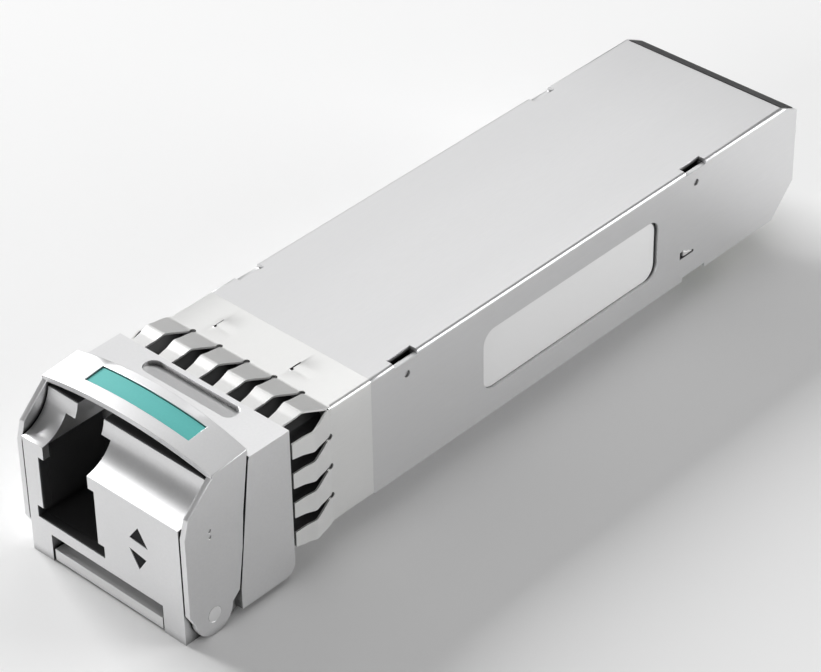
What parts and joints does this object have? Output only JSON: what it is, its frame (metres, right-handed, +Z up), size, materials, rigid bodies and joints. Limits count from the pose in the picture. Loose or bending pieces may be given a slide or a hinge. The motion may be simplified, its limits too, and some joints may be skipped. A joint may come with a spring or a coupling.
{
  "type": "optical transceiver module",
  "caption": "Small pluggable optical transceiver: metal body with side fibre port, sprung collar, card edge at the rear, and a hood-shaped release bail that works a latch rocker underneath.",
  "frame": {"origin": "bottom centre of the module's bounding box, under the middle of its length", "axes": "+Z up; +Y from the fibre port towards the card edge (direction of insertion); +X to the right seen from the port"},
  "size_m": [0.0146, 0.056, 0.0123],
  "materials": {
    "cast_zinc": "satin nickel-plated zinc die casting",
    "cover_steel": "satin nickel-plated sheet steel",
    "spring_steel": "bright plated spring sheet",
    "latch_steel": "plated stamped steel",
    "label_film": "blank silver-white film, glossy",
    "teal_plastic": "satin moulded plastic",
    "ceramic": "polished zirconia",
    "conductive_rubber": "dull filled silicone",
    "filter_glass": "coated glass",
    "gold_plate": "gold plate",
    "flex_film": "amber polyimide film",
    "board_laminate": "green solder mask on glass laminate",
    "chip_resin": "black moulding compound",
    "capacitor_ceramic": "tan ceramic with tinned ends",
    "gap_filler": "soft thermal silicone"
  },
  "bodies": {
    "housing": {"base_housing": "cast_zinc", "top_cover": "cover_steel", "emi_collar": "spring_steel", "side_labels": "label_film", "latch_pivot_pin": "latch_steel", "latch_return_spring": "spring_steel", "receptacle_barrel": "latch_steel", "split_sleeve": "ceramic", "fibre_stub": "ceramic", "receptacle_gasket": "conductive_rubber", "osa_retaining_plate": "spring_steel", "bosa_body": "latch_steel", "wavelength_filter": "filter_glass", "laser_can": "gold_plate", "laser_leads": "gold_plate", "laser_flex": "flex_film", "photodiode_can": "gold_plate", "photodiode_leads": "gold_plate", "photodiode_flex": "flex_film", "osa_clamp": "spring_steel", "circuit_board": "board_laminate", "edge_contacts": "gold_plate", "laser_driver_chip": "chip_resin", "limiting_amplifier_chip": "chip_resin", "microcontroller_chip": "chip_resin", "memory_chip": "chip_resin", "chip_capacitors": "capacitor_ceramic", "chip_resistors": "chip_resin", "ferrite_beads": "chip_resin", "thermal_pad": "gap_filler"},
    "bail": {"bail": "cast_zinc", "bail_colour_strip": "teal_plastic", "bail_pivot_pins": "latch_steel"},
    "latch": {"latch_rocker": "latch_steel"}
  },
  "joints": [
    {"name": "bail_hinge", "type": "hinge", "parent": "housing", "child": "bail", "pos_m": [0, -0.02605, 0.00145], "axis": [1, 0, 0], "range_deg": [0, 90]},
    {"name": "latch_rock", "type": "hinge", "parent": "housing", "child": "latch", "pos_m": [0, -0.02205, 0.0012], "axis": [1, 0, 0], "range_deg": [0, 5.6], "stiffness_Nm_per_rad": 0.001, "deforming": ["latch_return_spring"]}
  ],
  "couplings": [
    {"joint": "latch_rock", "follows": "bail_hinge", "ratio": 0.061111}
  ]
}
